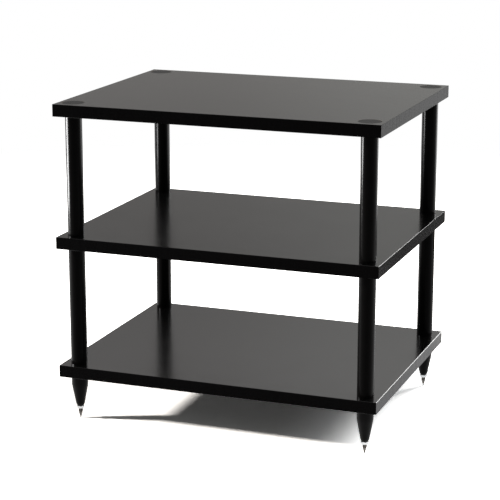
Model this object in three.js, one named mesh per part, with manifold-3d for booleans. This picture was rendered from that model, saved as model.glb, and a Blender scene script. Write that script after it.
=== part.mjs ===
// A three-shelf hi-fi rack. Steel posts stand between the boards at the four corners, studs through
// the boards pull each column together, and turned feet with screwed spikes carry the whole.
// Millimetres, +Z up. The origin lies on the floor below the middle, and the front faces -Y.

import * as THREE from 'three';
import { mergeVertices } from 'three/addons/utils/BufferGeometryUtils.js';
import Module from 'manifold-3d';

const wasm = await Module();
wasm.setup();

// Boards: black faced fibreboard, all alike
const boardWidth = 600;
const boardDepth = 450;
const boardThickness = 22;
const boardCornerRadius = 1.5;
const boardArris = 0.8;
const boardHoleDiameter = 9;

// Posts: round steel tube, one length for both bays
const postDiameter = 30;
const postWall = 2;
const postLength = 218;
const postInset = 27.5;
const postEndChamfer = 0.6;

// Plugs, pressed into both ends of a post and tapped right through
const plugLength = 15;
const plugLeadChamfer = 1;
const plugFit = 0.15;

// M8 thread, drawn plain at its mean diameter
const threadDiameter = 7.2;
const threadFit = 0.2;
const threadGrip = 13;
const threadEndChamfer = 0.9;

// Cap discs, let in flush with the top board and screwed through it into the upper posts
const capDiameter = 40;
const capThickness = 1.5;
const capRimRadius = 0.3;
const capRecessFit = 0.2;

// Feet: a straight collar as wide as the post, a long taper and a rounded nose
const footHeight = 60;
const footCollarHeight = 19;
const footShoulderBlend = 4;
const footNoseDiameter = 16.7;
const footNoseHeight = 6;
const footEndDiameter = 8.8;
const footTopChamfer = 0.5;
const footStudHoleDepth = 16;

// Lock nuts: hexagon, chamfered on both faces
const nutAcrossFlats = 13;
const nutHeight = 5;
const nutChamferAngle = THREE.MathUtils.degToRad(30);
const nutFaceDiameter = 12.4;

// Spikes: a screwed shank and a turned point
const spikeShownLength = 19;
const spikePointLength = 13.5;
const spikeTipDiameter = 1;
const spikeBuriedLength = 26;
const spikeEndClearance = 0.3;

// Fineness of the round forms
const postSides = 32;
const footSides = 32;
const capSides = 28;
const nutSides = 24;
const spikeSides = 16;
const threadSides = 12;
const curveSteps = 3;
const boardCornerSteps = 2;
const boardArrisSteps = 2;

// A cutter runs past the faces that it opens by this much
const cutOverrun = 1;

// Where things stand
const levels = ['bottom', 'middle', 'top'];
const bays = ['lower', 'upper'];
const corners = [
  { name: 'front_left', side: -1, end: -1 },
  { name: 'front_right', side: 1, end: -1 },
  { name: 'rear_left', side: -1, end: 1 },
  { name: 'rear_right', side: 1, end: 1 },
];

function bottomOfFoot() {
  return spikeShownLength + nutHeight;
}

function bottomOfBoard(level) {
  return bottomOfFoot() + footHeight + level * (boardThickness + postLength);
}

function bottomOfPost(bay) {
  return bottomOfBoard(bay) + boardThickness;
}

function postCentre(corner) {
  const x = corner.side * (boardWidth / 2 - postInset);
  const y = corner.end * (boardDepth / 2 - postInset);
  return new THREE.Vector3(x, y, 0);
}

// Materials
function satinBoardFacing() {
  return new THREE.MeshStandardMaterial({ color: '#1c1b1a', roughness: 0.32, metalness: 0 });
}

function satinBlackPaint() {
  return new THREE.MeshStandardMaterial({ color: '#141414', roughness: 0.38, metalness: 0 });
}

function mattBlackPaint() {
  return new THREE.MeshStandardMaterial({ color: '#181817', roughness: 0.5, metalness: 0 });
}

function zincedSteel() {
  return new THREE.MeshStandardMaterial({ color: '#9a9c9e', roughness: 0.42, metalness: 1 });
}

function brightChrome() {
  return new THREE.MeshStandardMaterial({ color: '#d6d6d4', roughness: 0.12, metalness: 1 });
}

// Turns a profile of radius and height about the upright axis
function turned(profile, sides) {
  const geometry = new THREE.LatheGeometry(profile.getPoints(curveSteps), sides);
  return geometry.rotateX(Math.PI / 2);
}

// A closed surface with its shared corners merged, ready for a cut
function solidOf(geometry) {
  const plain = geometry.clone();
  plain.deleteAttribute('normal');
  plain.deleteAttribute('uv');
  const merged = mergeVertices(plain);
  const mesh = new wasm.Mesh({
    numProp: 3,
    vertProperties: new Float32Array(merged.attributes.position.array),
    triVerts: new Uint32Array(merged.index.array),
  });
  return new wasm.Manifold(mesh);
}

function geometryOf(solid) {
  const mesh = solid.getMesh();
  const geometry = new THREE.BufferGeometry();
  geometry.setAttribute('position', new THREE.BufferAttribute(new Float32Array(mesh.vertProperties), 3));
  geometry.setIndex(new THREE.BufferAttribute(new Uint32Array(mesh.triVerts), 1));
  geometry.computeVertexNormals();
  return geometry;
}

// The rounded rectangle of a board, drawn in from its edges
function boardOutline(inset) {
  const radius = boardCornerRadius - Math.min(inset, boardArris);
  const x = boardWidth / 2 - inset - radius;
  const y = boardDepth / 2 - inset - radius;
  const outline = new THREE.Path();
  outline.absarc(x, -y, radius, -Math.PI / 2, 0);
  outline.absarc(x, y, radius, 0, Math.PI / 2);
  outline.absarc(-x, y, radius, Math.PI / 2, Math.PI);
  outline.absarc(-x, -y, radius, Math.PI, Math.PI * 1.5);
  return outline.getPoints(boardCornerSteps);
}

// From the clear middle of the underside out round the arrises and in to the clear middle on top
function boardRings() {
  const lower = [{ inset: postInset + capDiameter / 2, height: 0 }];
  for (let i = 0; i <= boardArrisSteps; i++) {
    const angle = i / boardArrisSteps * Math.PI / 2;
    lower.push({
      inset: boardArris * (1 - Math.sin(angle)),
      height: boardArris * (1 - Math.cos(angle)),
    });
  }
  const upper = lower.map(({ inset, height }) => ({ inset, height: boardThickness - height }));
  return [...lower, ...upper.reverse()];
}

// A board lies on z = 0, lofted through its rings
function slabGeometry() {
  const rings = boardRings();
  const positions = [];
  for (const { inset, height } of rings) {
    for (const point of boardOutline(inset)) {
      positions.push(point.x, point.y, height);
    }
  }
  const middle = boardOutline(rings[0].inset);
  const around = middle.length;
  const top = (rings.length - 1) * around;
  const faces = [];
  for (let low = 0; low < top; low += around) {
    const high = low + around;
    for (let i = 0; i < around; i++) {
      const next = (i + 1) % around;
      faces.push(low + i, low + next, high + next);
      faces.push(low + i, high + next, high + i);
    }
  }
  for (const [a, b, c] of THREE.ShapeUtils.triangulateShape(middle, [])) {
    faces.push(c, b, a);
    faces.push(top + a, top + b, top + c);
  }
  const slab = new THREE.BufferGeometry();
  slab.setAttribute('position', new THREE.Float32BufferAttribute(positions, 3));
  slab.setIndex(faces);
  return slab;
}

// Cuts the same round hole at every corner, between two heights
function drilledAtCorners(board, diameter, sides, bottom, top) {
  let drilled = board;
  for (const corner of corners) {
    const centre = postCentre(corner);
    const drill = new THREE.CylinderGeometry(diameter / 2, diameter / 2, top - bottom, sides);
    drill.rotateX(Math.PI / 2);
    drill.translate(centre.x, centre.y, (top + bottom) / 2);
    drilled = drilled.subtract(solidOf(drill));
  }
  return drilled;
}

// A board with its stud holes
function drilledBoard() {
  const above = boardThickness + cutOverrun;
  return drilledAtCorners(solidOf(slabGeometry()), boardHoleDiameter, threadSides, -cutOverrun, above);
}

function boardGeometry() {
  return geometryOf(drilledBoard());
}

// The top board also has a shallow seat round each hole, as deep as the cap disc in it
function topBoardGeometry() {
  const seatDiameter = capDiameter + 2 * capRecessFit;
  const seatFloor = boardThickness - capThickness;
  const above = boardThickness + cutOverrun;
  return geometryOf(drilledAtCorners(drilledBoard(), seatDiameter, capSides, seatFloor, above));
}

// A post stands on z = 0: tube with both outer rims eased
function postGeometry() {
  const outer = postDiameter / 2;
  const inner = outer - postWall;
  const ease = postEndChamfer;
  const wall = new THREE.Path();
  wall.moveTo(inner, 0);
  wall.lineTo(outer - ease, 0);
  wall.lineTo(outer, ease);
  wall.lineTo(outer, postLength - ease);
  wall.lineTo(outer - ease, postLength);
  wall.lineTo(inner, postLength);
  wall.lineTo(inner, 0);
  return turned(wall, postSides);
}

// A plug with its outer face on z = 0 and its lead chamfer up inside the tube
function plugGeometry() {
  const outer = postDiameter / 2 - postWall - plugFit;
  const bore = threadDiameter / 2 + threadFit;
  const wall = new THREE.Path();
  wall.moveTo(bore, 0);
  wall.lineTo(outer, 0);
  wall.lineTo(outer, plugLength - plugLeadChamfer);
  wall.lineTo(outer - plugLeadChamfer, plugLength);
  wall.lineTo(bore, plugLength);
  wall.lineTo(bore, 0);
  return turned(wall, threadSides);
}

// A stud stands on z = 0, as long as its two grips and the board between them
function studGeometry() {
  const radius = threadDiameter / 2;
  const length = boardThickness + 2 * threadGrip;
  const rod = new THREE.Path();
  rod.moveTo(0, 0);
  rod.lineTo(radius - threadEndChamfer, 0);
  rod.lineTo(radius, threadEndChamfer);
  rod.lineTo(radius, length - threadEndChamfer);
  rod.lineTo(radius - threadEndChamfer, length);
  rod.lineTo(0, length);
  return turned(rod, threadSides);
}

// A cap's disc lies on z = 0 and its shank hangs below
function capGeometry() {
  const radius = capDiameter / 2;
  const shank = threadDiameter / 2;
  const shankLength = boardThickness - capThickness + threadGrip;
  const cap = new THREE.Path();
  cap.moveTo(0, -shankLength);
  cap.lineTo(shank - threadEndChamfer, -shankLength);
  cap.lineTo(shank, threadEndChamfer - shankLength);
  cap.lineTo(shank, 0);
  cap.lineTo(radius, 0);
  cap.lineTo(radius, capThickness - capRimRadius);
  cap.quadraticCurveTo(radius, capThickness, radius - capRimRadius, capThickness);
  cap.lineTo(0, capThickness);
  return turned(cap, capSides);
}

// A foot stands with its nose on z = 0, bored from below for the spike and from above for the stud
function footGeometry() {
  const collar = postDiameter / 2;
  const bore = threadDiameter / 2 + threadFit;
  const nose = footNoseDiameter / 2;
  const shoulder = footHeight - footCollarHeight;
  const blendShare = footShoulderBlend / (shoulder - footNoseHeight);
  const blendRadius = collar + (nose - collar) * blendShare;
  const spikeHoleDepth = spikeBuriedLength + spikeEndClearance;
  const studHoleFloor = footHeight - footStudHoleDepth;
  const foot = new THREE.Path();
  foot.moveTo(0, spikeHoleDepth);
  foot.lineTo(bore, spikeHoleDepth);
  foot.lineTo(bore, 0);
  foot.lineTo(footEndDiameter / 2, 0);
  foot.quadraticCurveTo(nose - noseLean(), 0, nose, footNoseHeight);
  foot.lineTo(blendRadius, shoulder - footShoulderBlend);
  foot.quadraticCurveTo(collar, shoulder, collar, shoulder + footShoulderBlend);
  foot.lineTo(collar, footHeight - footTopChamfer);
  foot.lineTo(collar - footTopChamfer, footHeight);
  foot.lineTo(bore, footHeight);
  foot.lineTo(bore, studHoleFloor);
  foot.lineTo(0, studHoleFloor);
  return turned(foot, footSides);
}

// How far the line of the taper would still draw in over the height of the nose
function noseLean() {
  const taperHeight = footHeight - footCollarHeight - footNoseHeight;
  return footNoseHeight * (postDiameter - footNoseDiameter) / 2 / taperHeight;
}

function hexagonOutline() {
  const cornerRadius = nutAcrossFlats / 2 / Math.cos(Math.PI / 6);
  const outline = new THREE.Shape();
  for (let i = 0; i < 6; i++) {
    const angle = i * Math.PI / 3;
    const x = cornerRadius * Math.cos(angle);
    const y = cornerRadius * Math.sin(angle);
    if (i === 0) {
      outline.moveTo(x, y);
    } else {
      outline.lineTo(x, y);
    }
  }
  return outline;
}

// A nut stands on z = 0: a hexagon bar bored and faced off with the same chamfer on both sides
function nutGeometry() {
  const bar = new THREE.ExtrudeGeometry(hexagonOutline(), { depth: nutHeight, bevelEnabled: false });
  const bore = threadDiameter / 2 + threadFit;
  const face = nutFaceDiameter / 2;
  const middle = nutHeight / 2;
  const reach = face + middle / Math.tan(nutChamferAngle);
  const turning = new THREE.Path();
  turning.moveTo(bore, 0);
  turning.lineTo(face, 0);
  turning.lineTo(reach, middle);
  turning.lineTo(face, nutHeight);
  turning.lineTo(bore, nutHeight);
  turning.lineTo(bore, 0);
  return geometryOf(solidOf(bar).intersect(solidOf(turned(turning, nutSides))));
}

// A spike stands with its tip on z = 0
function spikeGeometry() {
  const radius = threadDiameter / 2;
  const length = spikeShownLength + nutHeight + spikeBuriedLength;
  const spike = new THREE.Path();
  spike.moveTo(0, 0);
  spike.lineTo(spikeTipDiameter / 2, 0);
  spike.lineTo(radius, spikePointLength);
  spike.lineTo(radius, length - threadEndChamfer);
  spike.lineTo(radius - threadEndChamfer, length);
  spike.lineTo(0, length);
  return turned(spike, spikeSides);
}

function piece(name, geometry, material, height) {
  const mesh = new THREE.Mesh(geometry, material);
  mesh.name = name;
  mesh.position.z = height;
  return mesh;
}

// A post with a plug in each end, the upper one turned over
function postAssembly(name, height) {
  const assembly = new THREE.Group();
  assembly.position.z = height;
  assembly.add(piece(name, postGeometry(), satinBlackPaint(), 0));
  assembly.add(piece(`${name}_bottom_plug`, plugGeometry(), zincedSteel(), 0));
  const topPlug = piece(`${name}_top_plug`, plugGeometry(), zincedSteel(), postLength);
  topPlug.rotation.x = Math.PI;
  assembly.add(topPlug);
  return assembly;
}

// All that stands on the line of one column, from the spike's tip to the cap
function column(corner) {
  const assembly = new THREE.Group();
  const footBase = bottomOfFoot();
  assembly.position.copy(postCentre(corner));
  assembly.add(piece(`spike_${corner.name}`, spikeGeometry(), brightChrome(), 0));
  assembly.add(piece(`lock_nut_${corner.name}`, nutGeometry(), brightChrome(), spikeShownLength));
  assembly.add(piece(`foot_${corner.name}`, footGeometry(), mattBlackPaint(), footBase));
  bays.forEach((bay, level) => {
    const studName = level === 0 ? 'foot_stud' : 'joining_stud';
    const studBase = bottomOfBoard(level) - threadGrip;
    assembly.add(piece(`${studName}_${corner.name}`, studGeometry(), zincedSteel(), studBase));
    assembly.add(postAssembly(`${bay}_post_${corner.name}`, bottomOfPost(level)));
  });
  const seat = bottomOfBoard(bays.length) + boardThickness - capThickness;
  assembly.add(piece(`cap_disc_${corner.name}`, capGeometry(), mattBlackPaint(), seat));
  return assembly;
}

const rack = new THREE.Group();
levels.forEach((level, index) => {
  const board = index === bays.length ? topBoardGeometry() : boardGeometry();
  rack.add(piece(`${level}_shelf`, board, satinBoardFacing(), bottomOfBoard(index)));
});
for (const corner of corners) {
  rack.add(column(corner));
}

export default rack;
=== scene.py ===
# Looks of a three-shelf audio equipment rack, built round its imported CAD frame.
# Metres, +Z up; the front of the rack faces -Y and the spike tips stand on z = 0.

import math

import bmesh
import bpy
from mathutils import Matrix, Vector


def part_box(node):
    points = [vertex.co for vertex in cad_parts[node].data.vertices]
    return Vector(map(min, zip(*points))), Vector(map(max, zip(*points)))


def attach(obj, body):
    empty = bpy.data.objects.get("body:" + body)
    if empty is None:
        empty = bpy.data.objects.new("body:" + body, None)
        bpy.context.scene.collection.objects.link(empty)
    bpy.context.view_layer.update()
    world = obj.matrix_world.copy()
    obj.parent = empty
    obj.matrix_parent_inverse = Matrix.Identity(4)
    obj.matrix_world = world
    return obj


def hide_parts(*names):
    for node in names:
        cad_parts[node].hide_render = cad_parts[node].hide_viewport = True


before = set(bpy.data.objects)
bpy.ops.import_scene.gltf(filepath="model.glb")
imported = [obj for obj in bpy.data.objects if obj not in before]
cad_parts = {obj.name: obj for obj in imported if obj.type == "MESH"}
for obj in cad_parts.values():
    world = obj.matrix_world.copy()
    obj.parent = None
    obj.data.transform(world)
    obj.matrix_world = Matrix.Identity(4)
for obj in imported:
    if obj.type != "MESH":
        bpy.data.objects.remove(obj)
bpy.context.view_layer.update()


# Camera

# A long lens stands to the right of the rack and well above its top, and looks a little down,
# so the posts stay nearly upright and the top faces are seen at a shallow angle.

image_side = 500
focal_pixels = 1756
camera_place = (1.086, -2.962, 1.093)
camera_turn = math.radians(20.36)
camera_dip = math.radians(14.19)
view_reach = 100

bpy.ops.object.select_all(action="DESELECT")
bpy.ops.object.camera_add(
    location=camera_place, rotation=(math.pi / 2 - camera_dip, 0, camera_turn))
camera = bpy.context.object
camera.data.lens = focal_pixels / image_side * camera.data.sensor_width
camera.data.clip_end = view_reach
bpy.context.scene.camera = camera
bpy.context.scene.view_settings.view_transform = "Standard"


# Shelf boards

# Three equal boards of 22 mm fibreboard, pressed with satin black melamine foil on both faces and
# edged all round with a black plastic strip whose arrises are trimmed off at 45 degrees. Four holes
# for the studs are drilled through each board, and the top one has a seat round each for a cap disc.

mm = 0.001
board_corner_radius = 1.5 * mm
board_corner_steps = 4
board_arris = 0.35 * mm
stud_hole_radius = 4.5 * mm
stud_hole_sides = 48
post_inset = 27.5 * mm
cap_seat_radius = 20.2 * mm
cap_seat_depth = 1.5 * mm
cap_seat_sides = 128
foil_cloud_width = 60 * mm
foil_pearl_width = 0.6 * mm
edging_mottle_width = 3 * mm
edging_wave_width = 9 * mm
edging_wave_stretch = 20
edging_wave_share = 22
arris_wave_width = 25 * mm
fibre_fuzz_width = 0.7 * mm


def linear(hex_colour):
    """An sRGB hex colour as the linear colour that a socket takes."""
    channels = [int(hex_colour[place:place + 2], 16) / 255 for place in (1, 3, 5)]
    return (*[c / 12.92 if c <= 0.04045 else ((c + 0.055) / 1.055) ** 2.4 for c in channels], 1)


def add_node(tree, kind, inputs, **settings):
    """Adds a node, sets it, and links or fills its inputs."""
    made = tree.nodes.new(kind)
    for name, value in settings.items():
        setattr(made, name, value)
    for name, value in inputs.items():
        if isinstance(value, bpy.types.NodeSocket):
            tree.links.new(value, made.inputs[name])
        else:
            made.inputs[name].default_value = value
    return made


def new_material(name):
    """A material with its tree, its shader and the place on the piece that is being shaded."""
    material = bpy.data.materials.new(name)
    material.use_nodes = True
    tree = material.node_tree
    place = add_node(tree, "ShaderNodeTexCoord", {}).outputs["Object"]
    return material, tree, tree.nodes["Principled BSDF"], place


# Melamine foil: a closed resin skin with a fine pearl emboss, deep black when looked down on and
# grey at a shallow angle, where it mirrors the room softly.
foil, tree, shader, place = new_material("satin_black_melamine_foil")
foil_cloud = add_node(tree, "ShaderNodeTexNoise", {
    "Vector": place,
    "Scale": 1 / foil_cloud_width,
    "Detail": 3,
})
foil_tone = add_node(tree, "ShaderNodeMix", {
    "Factor": foil_cloud.outputs["Fac"],
    "A": linear("#050505"),
    "B": linear("#080808"),
}, data_type="RGBA")
foil_sheen = add_node(tree, "ShaderNodeMapRange", {
    "Value": foil_cloud.outputs["Fac"],
    "To Min": 0.165,
    "To Max": 0.215,
})
foil_pearl = add_node(tree, "ShaderNodeTexNoise", {
    "Vector": place,
    "Scale": 1 / foil_pearl_width,
    "Detail": 2,
})
foil_bump = add_node(tree, "ShaderNodeBump", {
    "Height": foil_pearl.outputs["Fac"],
    "Distance": 0.004 * mm,
    "Strength": 1,
})
tree.links.new(foil_tone.outputs["Result"], shader.inputs["Base Color"])
tree.links.new(foil_sheen.outputs["Result"], shader.inputs["Roughness"])
tree.links.new(foil_bump.outputs["Normal"], shader.inputs["Normal"])
shader.inputs["IOR"].default_value = 1.5
shader.inputs["Specular Tint"].default_value = linear("#303030")

# Edging strip: extruded black plastic with a mottled skin, over the faint upright waves that the
# trimming head leaves. The waves are drawn 9 mm apart where real ones are nearer 3 mm, so that
# they show as ticks along the sides at this size.
edging, tree, shader, place = new_material("mottled_black_plastic_edging")
edging_mottle = add_node(tree, "ShaderNodeTexNoise", {
    "Vector": place,
    "Scale": 1 / edging_mottle_width,
    "Detail": 2,
})
edging_upright = add_node(tree, "ShaderNodeVectorMath", {
    0: place,
    1: (1, 1, 1 / edging_wave_stretch),
}, operation="MULTIPLY")
edging_waves = add_node(tree, "ShaderNodeTexNoise", {
    "Vector": edging_upright.outputs["Vector"],
    "Scale": 1 / edging_wave_width,
    "Detail": 1,
})
edging_tone = add_node(tree, "ShaderNodeMix", {
    "Factor": edging_mottle.outputs["Fac"],
    "A": linear("#040404"),
    "B": linear("#090809"),
}, data_type="RGBA")
edging_sheen = add_node(tree, "ShaderNodeMapRange", {
    "Value": edging_mottle.outputs["Fac"],
    "From Min": 0.35,
    "From Max": 0.65,
    "To Min": 0.18,
    "To Max": 0.34,
})
edging_relief = add_node(tree, "ShaderNodeMath", {
    0: edging_waves.outputs["Fac"],
    1: edging_wave_share,
    2: edging_mottle.outputs["Fac"],
}, operation="MULTIPLY_ADD")
edging_bump = add_node(tree, "ShaderNodeBump", {
    "Height": edging_relief.outputs["Value"],
    "Distance": 0.015 * mm,
    "Strength": 1,
})
tree.links.new(edging_tone.outputs["Result"], shader.inputs["Base Color"])
tree.links.new(edging_sheen.outputs["Result"], shader.inputs["Roughness"])
tree.links.new(edging_bump.outputs["Normal"], shader.inputs["Normal"])
shader.inputs["IOR"].default_value = 1.5
shader.inputs["Specular Tint"].default_value = linear("#2a2a2a")

# Trimmed arris: the same plastic where the cutter has laid it bare, smooth enough to draw the lamp
# behind the rack as one bright line.
arris, tree, shader, place = new_material("trimmed_black_plastic_arris")
arris_wave = add_node(tree, "ShaderNodeTexNoise", {
    "Vector": place,
    "Scale": 1 / arris_wave_width,
    "Detail": 2,
})
arris_sheen = add_node(tree, "ShaderNodeMapRange", {
    "Value": arris_wave.outputs["Fac"],
    "To Min": 0.1,
    "To Max": 0.14,
})
tree.links.new(arris_sheen.outputs["Result"], shader.inputs["Roughness"])
shader.inputs["Base Color"].default_value = linear("#0a0a0a")
shader.inputs["IOR"].default_value = 1.35

# Raw fibreboard: the warm brown core that shows only where holes and seats are cut, with the fuzz
# of its short fibres.
fibre, tree, shader, place = new_material("raw_brown_fibreboard")
fibre_fuzz = add_node(tree, "ShaderNodeTexNoise", {
    "Vector": place,
    "Scale": 1 / fibre_fuzz_width,
    "Detail": 4,
})
fibre_tone = add_node(tree, "ShaderNodeMix", {
    "Factor": fibre_fuzz.outputs["Fac"],
    "A": linear("#6f573c"),
    "B": linear("#a68a64"),
}, data_type="RGBA")
fibre_bump = add_node(tree, "ShaderNodeBump", {
    "Height": fibre_fuzz.outputs["Fac"],
    "Distance": 0.08 * mm,
    "Strength": 1,
})
tree.links.new(fibre_tone.outputs["Result"], shader.inputs["Base Color"])
tree.links.new(fibre_bump.outputs["Normal"], shader.inputs["Normal"])
shader.inputs["Roughness"].default_value = 0.9
shader.inputs["IOR"].default_value = 1.45


def worked(piece, kind, **settings):
    """Works a piece with one modifier, which is applied at once."""
    bpy.context.view_layer.objects.active = piece
    modifier = piece.modifiers.new(kind.lower(), kind)
    for name, value in settings.items():
        setattr(modifier, name, value)
    bpy.ops.object.modifier_apply(modifier=modifier.name)


def cut(piece, tool, operation):
    """Cuts a piece with a tool, which is used up."""
    worked(piece, "BOOLEAN", object=tool, operation=operation, solver="EXACT")
    bpy.data.objects.remove(tool)


soft_edge_angle = math.radians(35)


def smoothed(piece):
    """Rounds the shading over soft edges, and keeps the flats beside them flat."""
    bpy.ops.object.select_all(action="DESELECT")
    piece.select_set(True)
    bpy.context.view_layer.objects.active = piece
    bpy.ops.object.shade_smooth_by_angle(angle=soft_edge_angle)
    worked(piece, "WEIGHTED_NORMAL", keep_sharp=True)


def set_in_place(model, name, place, node, body):
    """Copies a finished model, with its own mesh, to its place, where it stands for a CAD node."""
    piece = model.copy()
    piece.data = model.data.copy()
    piece.name = name
    piece.data.transform(Matrix.Translation(place))
    bpy.context.collection.objects.link(piece)
    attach(piece, body)
    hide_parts(node)


board_low, board_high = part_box("bottom_shelf")
board_size = board_high - board_low
level_face_limit = 0.9
post_places = {
    f"{end_name}_{side_name}": Vector((
        side * (board_size.x / 2 - post_inset),
        end * (board_size.y / 2 - post_inset),
        0,
    ))
    for end_name, end in (("front", -1), ("rear", 1))
    for side_name, side in (("left", -1), ("right", 1))
}

bpy.ops.mesh.primitive_cube_add(size=1, location=(0, 0, board_size.z / 2), scale=board_size)
board = bpy.context.object
bpy.ops.object.transform_apply(location=True, rotation=True, scale=True)
bpy.ops.object.mode_set(mode="EDIT")
bpy.ops.mesh.select_all(action="DESELECT")
board_mesh = bmesh.from_edit_mesh(board.data)
for edge in board_mesh.edges:
    run = edge.verts[0].co - edge.verts[1].co
    edge.select_set(abs(run.z) > board_size.z / 2)
bpy.ops.mesh.bevel(offset=board_corner_radius, segments=board_corner_steps)
bpy.ops.mesh.select_all(action="DESELECT")
board_mesh = bmesh.from_edit_mesh(board.data)
board_mesh.normal_update()
for face in board_mesh.faces:
    face.select_set(abs(face.normal.z) > level_face_limit)
bpy.ops.mesh.region_to_loop()
bpy.ops.mesh.bevel(offset=board_arris, segments=1)
bpy.ops.object.mode_set(mode="OBJECT")


def drill_corners(piece, radius, sides, low, high):
    """Drills the same round hole at every corner, between two heights."""
    for centre in post_places.values():
        bpy.ops.object.select_all(action="DESELECT")
        bpy.ops.mesh.primitive_cylinder_add(
            vertices=sides, radius=radius, depth=high - low,
            location=centre + Vector((0, 0, (low + high) / 2)))
        cut(piece, bpy.context.object, "DIFFERENCE")


def is_bored(board, face):
    """Whether a face of the board lies wholly within one of its holes or seats."""
    points = [board.data.vertices[number].co.to_2d() for number in face.vertices]
    return any(
        all((point - centre.to_2d()).length < cap_seat_radius + board_arris for point in points)
        for centre in post_places.values()
    )


def faced(board):
    """Puts foil on the flats of a board, edging round it, and leaves its arrises and holes bare."""
    facings = (edging, arris, foil, fibre)
    board.data.materials.clear()
    for material in facings:
        board.data.materials.append(material)
    for face in board.data.polygons:
        # Twice the square of the normal's rise: 0 on a side, 1 on a 45 degree arris, 2 on a flat.
        facing = fibre if is_bored(board, face) else facings[round(2 * face.normal.z ** 2)]
        face.material_index = facings.index(facing)
    smoothed(board)


drill_corners(board, stud_hole_radius, stud_hole_sides, -board_size.z, 2 * board_size.z)
top_board = board.copy()
top_board.data = board.data.copy()
bpy.context.collection.objects.link(top_board)
drill_corners(
    top_board, cap_seat_radius, cap_seat_sides, board_size.z - cap_seat_depth, 2 * board_size.z)
for model, levels in ((board, ("bottom", "middle")), (top_board, ("top",))):
    faced(model)
    for level in levels:
        shelf = f"{level}_shelf"
        lift = Vector((0, 0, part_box(shelf)[0].z))
        set_in_place(model, f"{shelf}_board", lift, shelf, "rack")
    bpy.data.objects.remove(model)


# Levelling feet

# Four feet turned from steel bar: a straight collar as wide as the posts, a long taper and a
# rounded nose, painted satin black. Each is tapped from above for the stud that clamps it under
# the bottom board, and from below for its spike.

foot_height = 60 * mm
foot_collar_height = 19 * mm
foot_shoulder_blend = 4 * mm
foot_collar_radius = 15 * mm
foot_nose_radius = 8.35 * mm
foot_nose_height = 6 * mm
foot_end_radius = 4.4 * mm
foot_nose_bend_radius = 7.2 * mm
foot_top_arris = 0.5 * mm
foot_bore_radius = 4.05 * mm
foot_stud_radius = 3.8 * mm
foot_spike_hole = 26.3 * mm
foot_stud_hole = 16 * mm
foot_rest = 24 * mm
foot_nose_steps = 8
foot_shoulder_steps = 6
foot_sides = 96
foot_ring_gap = 0.8 * mm
foot_ring_share = 0.25
foot_peel_width = 1.5 * mm
weld_distance = 0.001 * mm

# Satin paint over turned steel: the tool's fine rings still show through it as faint lines
# round the foot, drawn 0.8 mm apart where the real feed is about 0.2 mm.
foot_paint, tree, shader, place = new_material("satin_black_paint_on_turned_steel")
foot_height_here = add_node(tree, "ShaderNodeSeparateXYZ", {"Vector": place}).outputs["Z"]
foot_turns = add_node(tree, "ShaderNodeMath", {
    0: foot_height_here,
    1: 2 * math.pi / foot_ring_gap,
}, operation="MULTIPLY")
foot_rings = add_node(tree, "ShaderNodeMath", {0: foot_turns.outputs["Value"]}, operation="SINE")
foot_peel = add_node(tree, "ShaderNodeTexNoise", {
    "Vector": place,
    "Scale": 1 / foot_peel_width,
    "Detail": 2,
})
foot_relief = add_node(tree, "ShaderNodeMath", {
    0: foot_rings.outputs["Value"],
    1: foot_ring_share,
    2: foot_peel.outputs["Fac"],
}, operation="MULTIPLY_ADD")
foot_bump = add_node(tree, "ShaderNodeBump", {
    "Height": foot_relief.outputs["Value"],
    "Distance": 0.008 * mm,
    "Strength": 1,
})
foot_tone = add_node(tree, "ShaderNodeMix", {
    "Factor": foot_peel.outputs["Fac"],
    "A": linear("#080808"),
    "B": linear("#0e0d0e"),
}, data_type="RGBA")
tree.links.new(foot_tone.outputs["Result"], shader.inputs["Base Color"])
tree.links.new(foot_bump.outputs["Normal"], shader.inputs["Normal"])
shader.inputs["Roughness"].default_value = 0.3
shader.inputs["IOR"].default_value = 1.5
shader.inputs["Specular Tint"].default_value = linear("#646464")


def drawn_line(points):
    """Draws a line of radius and height, from one vertex on, and stays in edit mode."""
    bpy.ops.object.select_all(action="DESELECT")
    radius, height = points[0]
    bpy.ops.mesh.primitive_plane_add(size=mm, location=(radius, 0, height), enter_editmode=True)
    bpy.ops.mesh.merge(type="CENTER")
    for (last_radius, last_height), (radius, height) in zip(points, points[1:]):
        step = (radius - last_radius, 0, height - last_height)
        bpy.ops.mesh.extrude_vertices_move(TRANSFORM_OT_translate={"value": step})


def turned(points, sides):
    """Spins a drawn line about the upright axis into a closed body."""
    drawn_line(points)
    bpy.ops.mesh.select_all(action="SELECT")
    bpy.ops.mesh.spin(steps=sides, angle=2 * math.pi, center=(0, 0, 0), axis=(0, 0, 1))
    bpy.ops.mesh.select_all(action="SELECT")
    bpy.ops.mesh.remove_doubles(threshold=weld_distance)
    bpy.ops.mesh.normals_make_consistent(inside=False)
    bpy.ops.object.mode_set(mode="OBJECT")
    bpy.ops.object.transform_apply(location=True, rotation=True, scale=True)
    return bpy.context.object


def eased_corner(start, corner, end, steps):
    """A soft bend from start to end that leans towards the corner between them."""
    bend = []
    for step in range(steps + 1):
        share = step / steps
        weights = ((1 - share) ** 2, 2 * share * (1 - share), share ** 2)
        bend.append(tuple(
            sum(w * point[axis] for w, point in zip(weights, (start, corner, end)))
            for axis in (0, 1)
        ))
    return bend


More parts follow.
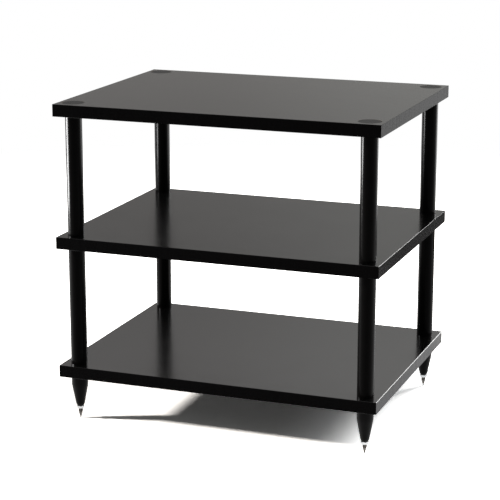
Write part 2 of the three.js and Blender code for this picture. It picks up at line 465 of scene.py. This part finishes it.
foot_shoulder = foot_height - foot_collar_height
foot_lean = (foot_collar_radius - foot_nose_radius) / (foot_shoulder - foot_nose_height)
foot_profile = [
    (0, foot_spike_hole),
    (foot_bore_radius, foot_spike_hole),
    (foot_bore_radius, 0),
    *eased_corner(
        (foot_end_radius, 0),
        (foot_nose_bend_radius, 0),
        (foot_nose_radius, foot_nose_height),
        foot_nose_steps),
    *eased_corner(
        (foot_collar_radius - foot_lean * foot_shoulder_blend, foot_shoulder - foot_shoulder_blend),
        (foot_collar_radius, foot_shoulder),
        (foot_collar_radius, foot_shoulder + foot_shoulder_blend),
        foot_shoulder_steps),
    (foot_collar_radius, foot_height - foot_top_arris),
    (foot_collar_radius - foot_top_arris, foot_height),
    (foot_stud_radius, foot_height),
    (foot_stud_radius, foot_height - foot_stud_hole),
    (0, foot_height - foot_stud_hole),
]
foot = turned(foot_profile, foot_sides)
foot.data.materials.append(foot_paint)
smoothed(foot)
for corner, centre in post_places.items():
    stand = centre + Vector((0, 0, foot_rest))
    set_in_place(foot, f"levelling_foot_{corner}", stand, f"foot_{corner}", "rack")
bpy.data.objects.remove(foot)


# Lock nuts

# A thin steel hexagon nut under each foot, chamfered on both faces and bright plated. It is
# screwed up tight against the nose, so that the spike can't turn once the rack stands level.

nut_corners = 6
nut_across_flats = 13 * mm
nut_height = 5 * mm
nut_face_radius = 6.2 * mm
nut_chamfer_rise = math.tan(math.radians(30))
nut_bore_radius = 4.05 * mm
nut_arris = 0.12 * mm
nut_arris_steps = 2
nut_sharp_edge = math.radians(40)
nut_rest = 19 * mm
nut_sides = 96
plating_haze_width = 1.2 * mm

# Bright nickel over pressed steel: nearly a mirror, softened by fine haze.
plating, tree, shader, place = new_material("bright_nickel_plating")
plating_haze = add_node(tree, "ShaderNodeTexNoise", {
    "Vector": place,
    "Scale": 1 / plating_haze_width,
    "Detail": 3,
})
plating_sheen = add_node(tree, "ShaderNodeMapRange", {
    "Value": plating_haze.outputs["Fac"],
    "To Min": 0.05,
    "To Max": 0.12,
})
plating_bump = add_node(tree, "ShaderNodeBump", {
    "Height": plating_haze.outputs["Fac"],
    "Distance": 0.004 * mm,
    "Strength": 1,
})
tree.links.new(plating_sheen.outputs["Result"], shader.inputs["Roughness"])
tree.links.new(plating_bump.outputs["Normal"], shader.inputs["Normal"])
shader.inputs["Base Color"].default_value = linear("#f3f5f6")
shader.inputs["Metallic"].default_value = 1

nut_reach = nut_face_radius + nut_height / 2 / nut_chamfer_rise
nut_turning = turned([
    (nut_bore_radius, 0),
    (nut_face_radius, 0),
    (nut_reach, nut_height / 2),
    (nut_face_radius, nut_height),
    (nut_bore_radius, nut_height),
    (nut_bore_radius, 0),
], nut_sides)
bpy.ops.object.select_all(action="DESELECT")
bpy.ops.mesh.primitive_cylinder_add(
    vertices=nut_corners,
    radius=nut_across_flats / 2 / math.cos(math.pi / nut_corners),
    depth=2 * nut_height,
    rotation=(0, 0, math.pi / nut_corners),
)
nut = bpy.context.object
bpy.ops.object.transform_apply(location=True, rotation=True, scale=True)
cut(nut, nut_turning, "INTERSECT")
worked(
    nut, "BEVEL", width=nut_arris, segments=nut_arris_steps, limit_method="ANGLE",
    angle_limit=nut_sharp_edge)
nut.data.materials.clear()
nut.data.materials.append(plating)
smoothed(nut)
for corner, centre in post_places.items():
    stand = centre + Vector((0, 0, nut_rest))
    set_in_place(nut, f"hexagon_nut_{corner}", stand, f"lock_nut_{corner}", "rack")
bpy.data.objects.remove(nut)


# Spikes

# Four hardened steel spikes: a turned point on a screwed M8 shank, thinly plated. They are the
# only parts that move: each screws out of its foot to take up an uneven floor.

thread_pitch = 1.25 * mm
thread_crest_radius = 3.95 * mm
thread_root_radius = 3.25 * mm
thread_crest_share = 1 / 8
thread_root_share = 1 / 4
thread_run_out = 2
thread_sides = 48
spike_length = 50 * mm
spike_point_length = 13.5 * mm
spike_tip_radius = 0.5 * mm
spike_end_arris = 0.9 * mm
spike_sides = 96
spike_ring_gap = 0.5 * mm
spike_haze_width = 2 * mm

# Hardened steel under a thin plating: darker and warmer than the nut, with the rings of turning
# left in, drawn 0.5 mm apart where the real feed is about 0.1 mm.
spike_steel, tree, shader, place = new_material("plated_hardened_steel")
spike_height_here = add_node(tree, "ShaderNodeSeparateXYZ", {"Vector": place}).outputs["Z"]
spike_turns = add_node(tree, "ShaderNodeMath", {
    0: spike_height_here,
    1: 2 * math.pi / spike_ring_gap,
}, operation="MULTIPLY")
spike_rings = add_node(tree, "ShaderNodeMath", {0: spike_turns.outputs["Value"]}, operation="SINE")
spike_bump = add_node(tree, "ShaderNodeBump", {
    "Height": spike_rings.outputs["Value"],
    "Distance": 0.004 * mm,
    "Strength": 1,
})
spike_haze = add_node(tree, "ShaderNodeTexNoise", {
    "Vector": place,
    "Scale": 1 / spike_haze_width,
    "Detail": 3,
})
spike_tone = add_node(tree, "ShaderNodeMix", {
    "Factor": spike_haze.outputs["Fac"],
    "A": linear("#6e6a66"),
    "B": linear("#8c8884"),
}, data_type="RGBA")
tree.links.new(spike_tone.outputs["Result"], shader.inputs["Base Color"])
tree.links.new(spike_bump.outputs["Normal"], shader.inputs["Normal"])
shader.inputs["Metallic"].default_value = 1
shader.inputs["Roughness"].default_value = 0.2

thread_flank = (1 - thread_crest_share - thread_root_share) / 2
thread_start = -thread_run_out * thread_pitch
drawn_line([
    (thread_root_radius, thread_start),
    (thread_root_radius, thread_start + thread_root_share * thread_pitch),
    (thread_crest_radius, thread_start + (thread_root_share + thread_flank) * thread_pitch),
    (thread_crest_radius, thread_start + (1 - thread_flank) * thread_pitch),
    (thread_root_radius, thread_start + thread_pitch),
])
bpy.ops.object.mode_set(mode="OBJECT")
bpy.ops.object.transform_apply(location=True, rotation=True, scale=True)
screwed_bar = bpy.context.object
worked(
    screwed_bar, "SCREW", axis="Z", angle=2 * math.pi, steps=thread_sides, render_steps=thread_sides,
    screw_offset=thread_pitch,
    iterations=math.ceil(spike_length / thread_pitch) + 2 * thread_run_out,
    use_merge_vertices=True, merge_threshold=weld_distance)
bpy.ops.object.mode_set(mode="EDIT")
bpy.ops.mesh.select_all(action="SELECT")
bpy.ops.mesh.remove_doubles(threshold=weld_distance)
bpy.ops.mesh.fill_holes(sides=0)
bpy.ops.mesh.select_all(action="SELECT")
bpy.ops.mesh.normals_make_consistent(inside=False)
bpy.ops.object.mode_set(mode="OBJECT")

spike = turned([
    (0, 0),
    (spike_tip_radius, 0),
    (thread_crest_radius, spike_point_length),
    (thread_crest_radius, spike_length - spike_end_arris),
    (thread_crest_radius - spike_end_arris, spike_length),
    (0, spike_length),
], spike_sides)
cut(spike, screwed_bar, "INTERSECT")
spike.data.materials.clear()
spike.data.materials.append(spike_steel)
smoothed(spike)
for corner, centre in post_places.items():
    set_in_place(
        spike, f"screwed_spike_{corner}", centre, f"spike_{corner}",
        f"levelling_spike_{corner}")
bpy.data.objects.remove(spike)


# Studs and plugs

# Threaded steel plugs are pressed into both ends of every post tube, and double-ended studs run
# through the boards between them. They are hidden once the rack is together, and the frame's own
# solids have their shape, so they only take the finish.

zinc_cloud_width = 4 * mm

# Bright zinc plating: a pale grey that shines softly, in faint clouds between cool and warm.
zinc, tree, shader, place = new_material("bright_zinc_plating")
zinc_cloud = add_node(tree, "ShaderNodeTexNoise", {
    "Vector": place,
    "Scale": 1 / zinc_cloud_width,
    "Detail": 3,
})
zinc_tone = add_node(tree, "ShaderNodeMix", {
    "Factor": zinc_cloud.outputs["Fac"],
    "A": linear("#a9adb2"),
    "B": linear("#c4c5c3"),
}, data_type="RGBA")
zinc_sheen = add_node(tree, "ShaderNodeMapRange", {
    "Value": zinc_cloud.outputs["Fac"],
    "To Min": 0.3,
    "To Max": 0.45,
})
tree.links.new(zinc_tone.outputs["Result"], shader.inputs["Base Color"])
tree.links.new(zinc_sheen.outputs["Result"], shader.inputs["Roughness"])
shader.inputs["Metallic"].default_value = 1

for name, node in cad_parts.items():
    if "plug" in name or "stud" in name:
        node.material_slots[0].material = zinc


# Posts

# Eight equal lengths of round steel tube, 30 by 2 mm, faced square and powder coated satin black.
# They stand clamped between the boards, four in each bay, on one line above the feet.

post_radius = 15 * mm
post_wall = 2 * mm
post_end_arris = 0.25 * mm
post_end_steps = 3
post_sharp_edge = math.radians(60)
post_sides = 128
coat_peel_width = 2.5 * mm
coat_cloud_width = 30 * mm

# Powder coat: a thick plastic paint that flows into a skin with a faint orange peel, black and
# smooth enough to draw a window or a lamp as one clear upright line.
powder_coat, tree, shader, place = new_material("satin_black_powder_coat")
coat_peel = add_node(tree, "ShaderNodeTexNoise", {
    "Vector": place,
    "Scale": 1 / coat_peel_width,
    "Detail": 1,
})
coat_cloud = add_node(tree, "ShaderNodeTexNoise", {
    "Vector": place,
    "Scale": 1 / coat_cloud_width,
    "Detail": 2,
})
coat_tone = add_node(tree, "ShaderNodeMix", {
    "Factor": coat_cloud.outputs["Fac"],
    "A": linear("#080808"),
    "B": linear("#0c0b0b"),
}, data_type="RGBA")
coat_sheen = add_node(tree, "ShaderNodeMapRange", {
    "Value": coat_cloud.outputs["Fac"],
    "To Min": 0.16,
    "To Max": 0.22,
})
coat_bump = add_node(tree, "ShaderNodeBump", {
    "Height": coat_peel.outputs["Fac"],
    "Distance": 0.0004 * mm,
    "Strength": 1,
})
tree.links.new(coat_tone.outputs["Result"], shader.inputs["Base Color"])
tree.links.new(coat_sheen.outputs["Result"], shader.inputs["Roughness"])
tree.links.new(coat_bump.outputs["Normal"], shader.inputs["Normal"])
shader.inputs["IOR"].default_value = 1.5
shader.inputs["Specular Tint"].default_value = linear("#303030")

post_low, post_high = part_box("lower_post_front_left")
post_length = post_high.z - post_low.z
post = turned([
    (post_radius - post_wall, 0),
    (post_radius, 0),
    (post_radius, post_length),
    (post_radius - post_wall, post_length),
    (post_radius - post_wall, 0),
], post_sides)
worked(
    post, "BEVEL", width=post_end_arris, segments=post_end_steps, limit_method="ANGLE",
    angle_limit=post_sharp_edge)
post.data.materials.append(powder_coat)
smoothed(post)
for bay in ("lower", "upper"):
    for corner, centre in post_places.items():
        node = f"{bay}_post_{corner}"
        stand = centre + Vector((0, 0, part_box(node)[0].z))
        set_in_place(post, f"{bay}_tube_{corner}", stand, node, "rack")
bpy.data.objects.remove(post)


# Cap discs

# Four thin turned discs close the columns, let in flush with the top board. Each has a screwed
# shank that runs down into the upper post and pulls the column together. They are matt black.

cap_radius = 20 * mm
cap_thickness = 1.5 * mm
cap_rim_radius = 0.3 * mm
cap_rim_steps = 5
cap_sides = 128
cap_shank_radius = 3.6 * mm
cap_shank_length = 33.5 * mm
cap_shank_arris = 0.9 * mm
cap_ring_gap = 0.8 * mm
cap_ring_share = 0.3
cap_grain_width = 0.8 * mm

# Matt paint over a faced disc: duller than the foil round it, with the facing tool's rings about
# the middle of each disc, drawn 0.8 mm apart where the real feed is about 0.2 mm.
cap_paint, tree, shader, place = new_material("matt_black_paint_on_faced_steel")
cap_quarter = add_node(tree, "ShaderNodeVectorMath", {0: place}, operation="ABSOLUTE")
cap_offset = add_node(tree, "ShaderNodeVectorMath", {
    0: cap_quarter.outputs["Vector"],
    1: post_places["rear_right"],
}, operation="SUBTRACT")
cap_flat = add_node(tree, "ShaderNodeVectorMath", {
    0: cap_offset.outputs["Vector"],
    1: (1, 1, 0),
}, operation="MULTIPLY")
cap_distance = add_node(tree, "ShaderNodeVectorMath", {
    0: cap_flat.outputs["Vector"],
}, operation="LENGTH")
cap_turns = add_node(tree, "ShaderNodeMath", {
    0: cap_distance.outputs["Value"],
    1: 2 * math.pi / cap_ring_gap,
}, operation="MULTIPLY")
cap_rings = add_node(tree, "ShaderNodeMath", {0: cap_turns.outputs["Value"]}, operation="SINE")
cap_grain = add_node(tree, "ShaderNodeTexNoise", {
    "Vector": place,
    "Scale": 1 / cap_grain_width,
    "Detail": 2,
})
cap_relief = add_node(tree, "ShaderNodeMath", {
    0: cap_rings.outputs["Value"],
    1: cap_ring_share,
    2: cap_grain.outputs["Fac"],
}, operation="MULTIPLY_ADD")
cap_bump = add_node(tree, "ShaderNodeBump", {
    "Height": cap_relief.outputs["Value"],
    "Distance": 0.01 * mm,
    "Strength": 1,
})
cap_tone = add_node(tree, "ShaderNodeMix", {
    "Factor": cap_grain.outputs["Fac"],
    "A": linear("#0d0d0d"),
    "B": linear("#131313"),
}, data_type="RGBA")
tree.links.new(cap_tone.outputs["Result"], shader.inputs["Base Color"])
tree.links.new(cap_bump.outputs["Normal"], shader.inputs["Normal"])
shader.inputs["Roughness"].default_value = 0.55
shader.inputs["IOR"].default_value = 1.35
shader.inputs["Specular Tint"].default_value = linear("#4a4a4a")

cap = turned([
    (0, -cap_shank_length),
    (cap_shank_radius - cap_shank_arris, -cap_shank_length),
    (cap_shank_radius, cap_shank_arris - cap_shank_length),
    (cap_shank_radius, 0),
    (cap_radius, 0),
    *eased_corner(
        (cap_radius, cap_thickness - cap_rim_radius),
        (cap_radius, cap_thickness),
        (cap_radius - cap_rim_radius, cap_thickness),
        cap_rim_steps),
    (0, cap_thickness),
], cap_sides)
cap.data.materials.append(cap_paint)
smoothed(cap)
top_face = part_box("top_shelf")[1].z
for corner, centre in post_places.items():
    stand = centre + Vector((0, 0, top_face - cap_thickness))
    set_in_place(cap, f"turned_cap_{corner}", stand, f"cap_disc_{corner}", "rack")
bpy.data.objects.remove(cap)


# Floor

# A white studio floor, wide enough to fill the view from any side. Where the camera sees it, it
# is exposed to pure white and keeps only the deep shadow under the rack, and past the rack's
# surroundings it goes over into the white of the room.

floor_side = 60
floor_tone = linear("#e8e8e6")
floor_exposure = 3.5
floor_near = 1.6
floor_far = 2.6
floor_glow_share = 0.5
floor_glow_near = 0.95
floor_glow_far = 0.65


def add_ray_kinds(tree):
    """Adds what tells the camera's rays, those in gloss or glass, and both, from all others."""
    seen_by = add_node(tree, "ShaderNodeLightPath", {})
    mirrored = add_node(tree, "ShaderNodeMath", {
        0: seen_by.outputs["Is Glossy Ray"],
        1: seen_by.outputs["Is Transmission Ray"],
    }, operation="MAXIMUM")
    looked_at = add_node(tree, "ShaderNodeMath", {
        0: seen_by.outputs["Is Camera Ray"],
        1: mirrored.outputs["Value"],
    }, operation="MAXIMUM")
    return seen_by.outputs["Is Camera Ray"], mirrored.outputs["Value"], looked_at.outputs["Value"]


floor_paper = bpy.data.materials.new("white_studio_floor")
floor_paper.use_nodes = True
tree = floor_paper.node_tree
tree.nodes.clear()
in_view, in_gloss, looked_at = add_ray_kinds(tree)
place = add_node(tree, "ShaderNodeTexCoord", {}).outputs["Object"]
floor_reach = add_node(tree, "ShaderNodeVectorMath", {0: place}, operation="LENGTH")
floor_distance = add_node(tree, "ShaderNodeMapRange", {
    "Value": floor_reach.outputs["Value"],
    "From Min": floor_near,
    "From Max": floor_far,
}, interpolation_type="SMOOTHSTEP")
far_and_seen = add_node(tree, "ShaderNodeMath", {
    0: floor_distance.outputs["Result"],
    1: looked_at,
}, operation="MULTIPLY")
glow_in_gloss = add_node(tree, "ShaderNodeMath", {
    0: in_gloss,
    1: floor_glow_share,
}, operation="MULTIPLY")
glow_share = add_node(tree, "ShaderNodeMath", {
    0: far_and_seen.outputs["Value"],
    1: glow_in_gloss.outputs["Value"],
}, operation="MAXIMUM")
floor_in_room = add_node(tree, "ShaderNodeMix", {
    "Factor": in_gloss,
    "A": floor_tone,
    "B": (1, 1, 1, 1),
}, data_type="RGBA")
floor_in_view = add_node(tree, "ShaderNodeMix", {
    "Factor": in_view,
    "A": floor_in_room.outputs["Result"],
    "B": tuple(channel * floor_exposure for channel in floor_tone[:3]) + (1,),
}, data_type="RGBA")
near_floor = add_node(tree, "ShaderNodeBsdfDiffuse", {"Color": floor_in_view.outputs["Result"]})
gloss_strength = add_node(tree, "ShaderNodeMapRange", {
    "Value": floor_distance.outputs["Result"],
    "To Min": floor_glow_near,
    "To Max": floor_glow_far,
})
far_strength = add_node(tree, "ShaderNodeMapRange", {
    "Value": in_gloss,
    "To Min": 1,
    "To Max": gloss_strength.outputs["Result"],
})
white = add_node(tree, "ShaderNodeEmission", {
    "Color": (1, 1, 1, 1),
    "Strength": far_strength.outputs["Result"],
})
whole_floor = add_node(tree, "ShaderNodeMixShader", {
    0: glow_share.outputs["Value"],
    1: near_floor.outputs["BSDF"],
    2: white.outputs["Emission"],
})
add_node(tree, "ShaderNodeOutputMaterial", {"Surface": whole_floor.outputs["Shader"]})

bpy.ops.object.select_all(action="DESELECT")
bpy.ops.mesh.primitive_plane_add(size=floor_side)
floor = bpy.context.object
floor.name = "studio_floor"
floor.data.materials.append(floor_paper)


# Light

# Three distant lamps light the rack from the front left, from behind on the right and from the
# right, and the white room adds the last tenth. In the gloss the room is a grey wall, darker
# above and lighter on the right, below a light ceiling, and the shelves mirror both.

# Heights in the room are the rise of the direction looked in, and sides are its part along +X.
room_light = 0.1
far_wall_tone = linear("#aaa9a7")
far_wall_start = 0
far_wall_full = 0.06
high_wall_tone = linear("#8e8e8d")
high_wall_start = 0.17
high_wall_full = 0.22
ceiling_tone = linear("#f3f2f2")
ceiling_start = 0.262
ceiling_full = 0.325
room_left_tint = (0.94, 0.92, 0.91, 1)
room_right_tint = (1.24, 1.24, 1.22, 1)
room_left_end = -0.38
room_right_end = -0.24

room = bpy.data.worlds.new("white_room")
bpy.context.scene.world = room
room.use_nodes = True
tree = room.node_tree
_, in_gloss, looked_at = add_ray_kinds(tree)
room_strength = add_node(tree, "ShaderNodeMapRange", {
    "Value": looked_at,
    "To Min": room_light,
    "To Max": 1,
})
room_way = add_node(tree, "ShaderNodeTexCoord", {}).outputs["Generated"]
room_parts = add_node(tree, "ShaderNodeSeparateXYZ", {"Vector": room_way})
room_rise = room_parts.outputs["Z"]
far_wall = add_node(tree, "ShaderNodeMapRange", {
    "Value": room_rise,
    "From Min": far_wall_start,
    "From Max": far_wall_full,
}, interpolation_type="SMOOTHSTEP")
ceiling = add_node(tree, "ShaderNodeMapRange", {
    "Value": room_rise,
    "From Min": ceiling_start,
    "From Max": ceiling_full,
}, interpolation_type="SMOOTHSTEP")
high_wall = add_node(tree, "ShaderNodeMapRange", {
    "Value": room_rise,
    "From Min": high_wall_start,
    "From Max": high_wall_full,
}, interpolation_type="SMOOTHSTEP")
wall_tone = add_node(tree, "ShaderNodeMix", {
    "Factor": high_wall.outputs["Result"],
    "A": far_wall_tone,
    "B": high_wall_tone,
}, data_type="RGBA")
wall_and_ceiling = add_node(tree, "ShaderNodeMix", {
    "Factor": ceiling.outputs["Result"],
    "A": wall_tone.outputs["Result"],
    "B": ceiling_tone,
}, data_type="RGBA")
room_side = add_node(tree, "ShaderNodeMapRange", {
    "Value": room_parts.outputs["X"],
    "From Min": room_left_end,
    "From Max": room_right_end,
}, interpolation_type="SMOOTHSTEP")
room_tint = add_node(tree, "ShaderNodeMix", {
    "Factor": room_side.outputs["Result"],
    "A": room_left_tint,
    "B": room_right_tint,
}, data_type="RGBA")
tinted_room = add_node(tree, "ShaderNodeVectorMath", {
    0: wall_and_ceiling.outputs["Result"],
    1: room_tint.outputs["Result"],
}, operation="MULTIPLY")
wall_in_gloss = add_node(tree, "ShaderNodeMath", {
    0: far_wall.outputs["Result"],
    1: in_gloss,
}, operation="MULTIPLY")
room_tone = add_node(tree, "ShaderNodeMix", {
    "Factor": wall_in_gloss.outputs["Value"],
    "A": (1, 1, 1, 1),
    "B": tinted_room.outputs["Vector"],
}, data_type="RGBA")
tree.links.new(room_strength.outputs["Result"], tree.nodes["Background"].inputs["Strength"])
tree.links.new(room_tone.outputs["Result"], tree.nodes["Background"].inputs["Color"])


def add_far_lamp(name, bearing, height, spread, share, tone, matt=True, gloss=True):
    """Adds a distant lamp by its angle from +X, its height and its width in degrees."""
    bpy.ops.object.select_all(action="DESELECT")
    turn = (math.pi / 2 - math.radians(height), 0, math.radians(bearing) + math.pi / 2)
    bpy.ops.object.light_add(type="SUN", rotation=turn)
    lamp = bpy.context.object
    lamp.name = name
    lamp.data.angle = math.radians(spread)
    lamp.data.energy = share * math.pi / math.sin(math.radians(height))
    lamp.data.color = linear(tone)[:3]
    lamp.visible_diffuse = matt
    lamp.visible_glossy = gloss


# The shares of the three lamps and the room make 1, so a colour renders about as it is written.
add_far_lamp(
    "front_left_lamp", bearing=199, height=24.5, spread=4.5, share=0.42, tone="#fffaf6", gloss=False)
add_far_lamp(
    "rear_right_lamp", bearing=60, height=28, spread=20, share=0.22, tone="#ffffff", gloss=False)
add_far_lamp("right_window", bearing=10, height=49, spread=60, share=0.26, tone="#fafbff")

# A small dim lamp low behind the rack is met by gloss alone, and draws the bright line on the
# arris of the lowest shelf.
add_far_lamp(
    "rear_right_glint", bearing=71.5, height=12.5, spread=9, share=0.027, tone="#ffffff", matt=False)

# A grey cloth lies on the floor behind the rack on the right. Only gloss meets it: the side of
# the middle shelf mirrors it and stays darker than the sides above and below.
cloth_middle = (0.95, 1.44, 0.002)
cloth_size = (1.3, 1.32, 1)
bpy.ops.object.select_all(action="DESELECT")
bpy.ops.mesh.primitive_plane_add(size=1, location=cloth_middle)
cloth = bpy.context.object
cloth.name = "grey_cloth"
cloth.scale = cloth_size
bpy.ops.object.transform_apply(location=True, rotation=True, scale=True)
cloth.visible_camera = False
cloth.visible_diffuse = False
cloth.visible_shadow = False
grey_cloth, _, shader, _ = new_material("grey_studio_cloth")
shader.inputs["Base Color"].default_value = linear("#5c5c5c")
shader.inputs["Roughness"].default_value = 1
shader.inputs["Specular IOR Level"].default_value = 0
cloth.data.materials.append(grey_cloth)

# Two strip lights stand close by and show in the gloss of the posts alone: the left one draws
# the bright upright line on each of them, and the wide dim one behind on the right softens their
# right-hand edges.
lit_by_strips = bpy.data.collections.new("lit_by_strips")
for bay in ("lower", "upper"):
    for corner in post_places:
        lit_by_strips.objects.link(bpy.data.objects[f"{bay}_tube_{corner}"])


def add_strip(name, middle, turn, width, height, power):
    """Adds a strip light, faced towards the posts, that shows in their gloss alone."""
    bpy.ops.object.select_all(action="DESELECT")
    bpy.ops.object.light_add(
        type="AREA", location=middle, rotation=(math.pi / 2, 0, math.radians(turn)))
    strip = bpy.context.object
    strip.name = name
    strip.data.shape = "RECTANGLE"
    strip.data.size = width
    strip.data.size_y = height
    strip.data.energy = power
    strip.visible_camera = False
    strip.visible_diffuse = False
    strip.light_linking.receiver_collection = lit_by_strips


add_strip(
    "left_strip", middle=(-0.95, -0.36, 0.38), turn=-77, width=0.36, height=0.28, power=11.5)
add_strip("right_strip", middle=(0.8, 1.0, 0.3), turn=150, width=1.0, height=0.36, power=1.9)
